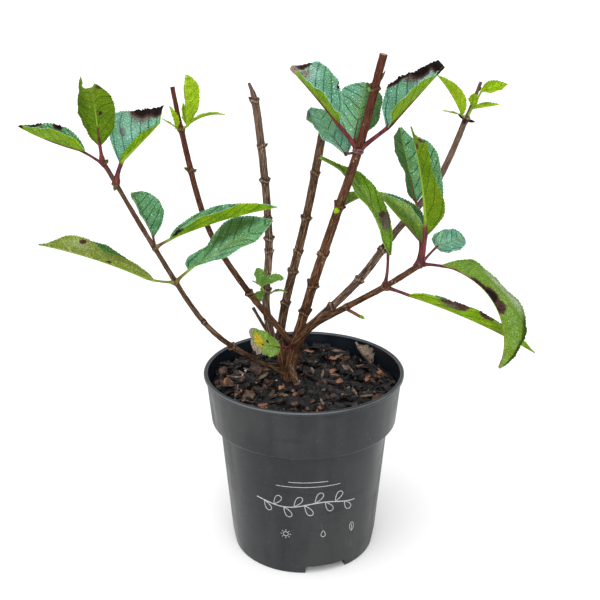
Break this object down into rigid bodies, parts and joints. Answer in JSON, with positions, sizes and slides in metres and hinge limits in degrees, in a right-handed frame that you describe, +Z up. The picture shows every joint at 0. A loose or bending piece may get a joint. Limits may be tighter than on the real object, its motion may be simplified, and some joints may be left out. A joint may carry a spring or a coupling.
{
  "type": "potted hydrangea shrub",
  "caption": "Young cut-back hydrangea shrub with bare woody canes, large toothed leaves and fresh shoots, in a round plastic nursery pot filled with bark compost.",
  "frame": {"origin": "middle of the pot's flat underside, on the surface that the pot stands on", "axes": "+Z up, +X to the right and -Y towards the viewer in the front view, +Y to the back"},
  "size_m": [0.4401, 0.19, 0.4759],
  "materials": {
    "pot_plastic": "satin recycled plastic with fine moulding marks and dust",
    "bark_compost": "damp dark bark chips with a few reddish ones",
    "cane_bark": "matt grey-brown bark with ring nodes and fine ridges",
    "leaf_green": "matt green leaf with impressed veins, bluish above and yellowish below",
    "young_leaf": "soft bright lime green",
    "dry_leaf": "dry tan, curled"
  },
  "bodies": {
    "root": {"pot": "pot_plastic", "compost": "bark_compost", "crown": "cane_bark", "tall_cane": "cane_bark", "right_cane": "cane_bark", "low_right_cane": "cane_bark", "left_cane": "cane_bark", "back_right_cane": "cane_bark", "back_left_cane": "cane_bark", "low_left_cane": "cane_bark", "grey_stub": "cane_bark", "front_stub": "cane_bark", "side_twig": "cane_bark", "leaf_left_tip": "leaf_green", "leaf_left_upright": "leaf_green", "leaf_left_scorched": "leaf_green", "leaf_left_back": "leaf_green", "leaf_left_inner": "leaf_green", "leaf_left_low": "leaf_green", "leaf_left_broad": "leaf_green", "leaf_tall_left": "leaf_green", "leaf_tall_right": "leaf_green", "leaf_tall_back": "leaf_green", "leaf_tall_side": "leaf_green", "leaf_tall_low": "leaf_green", "leaf_right_rising": "leaf_green", "leaf_right_inner": "leaf_green", "leaf_right_upright": "leaf_green", "leaf_right_drooping": "leaf_green", "leaf_right_low": "leaf_green", "leaf_right_small": "leaf_green", "leaf_right_back": "leaf_green", "base_leaf": "leaf_green", "shoot_left_cane_right": "young_leaf", "shoot_left_cane_left": "young_leaf", "shoot_right_cane_left": "young_leaf", "shoot_right_cane_right": "young_leaf", "shoot_back_left_cane_left": "young_leaf", "shoot_back_left_cane_right": "young_leaf", "dry_leaf": "dry_leaf"}
  },
  "joints": []
}
